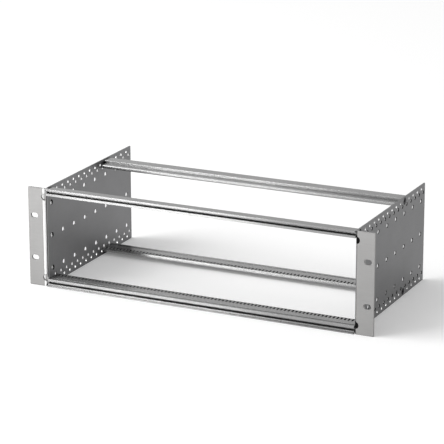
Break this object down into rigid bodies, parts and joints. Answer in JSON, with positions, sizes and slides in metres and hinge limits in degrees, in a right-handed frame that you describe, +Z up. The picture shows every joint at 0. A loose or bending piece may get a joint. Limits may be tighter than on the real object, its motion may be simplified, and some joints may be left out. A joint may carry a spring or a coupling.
{
  "type": "subrack card cage",
  "caption": "Open rack-mount card cage: perforated side panels, angled rack brackets and slotted horizontal rails for plug-in circuit cards.",
  "frame": {"origin": "middle of the cage's footprint, on the plane that its lower edges stand on", "axes": "+X to the right along the front, +Y from the front towards the rear, +Z up"},
  "size_m": [0.4826, 0.2366, 0.1326],
  "materials": {
    "panel_aluminium": "satin clear passivated sheet",
    "bracket_aluminium": "satin anodised sheet with a fine rolled grain",
    "rail_aluminium": "satin anodised extrusion with a grain along its length",
    "strip_steel": "zinc plated strip",
    "screw_black": "black zinc plated, half gloss",
    "rivet_steel": "bright nickel plated"
  },
  "bodies": {
    "root": {"side_panel_left": "panel_aluminium", "side_panel_right": "panel_aluminium", "rack_bracket_left": "bracket_aluminium", "rack_bracket_right": "bracket_aluminium", "front_rail_bottom": "rail_aluminium", "front_rail_top": "rail_aluminium", "rear_rail_bottom": "rail_aluminium", "rear_rail_top": "rail_aluminium", "threaded_strip_bottom": "strip_steel", "threaded_strip_top": "strip_steel", "rail_screw_front_bottom_left": "screw_black", "rail_screw_front_bottom_right": "screw_black", "rail_screw_front_top_left": "screw_black", "rail_screw_front_top_right": "screw_black", "rail_screw_rear_bottom_left": "screw_black", "rail_screw_rear_bottom_right": "screw_black", "rail_screw_rear_top_left": "screw_black", "rail_screw_rear_top_right": "screw_black", "bracket_rivet_bottom_left": "rivet_steel", "bracket_rivet_bottom_right": "rivet_steel", "bracket_rivet_middle_left": "rivet_steel", "bracket_rivet_middle_right": "rivet_steel", "bracket_rivet_top_left": "rivet_steel", "bracket_rivet_top_right": "rivet_steel"}
  },
  "joints": []
}
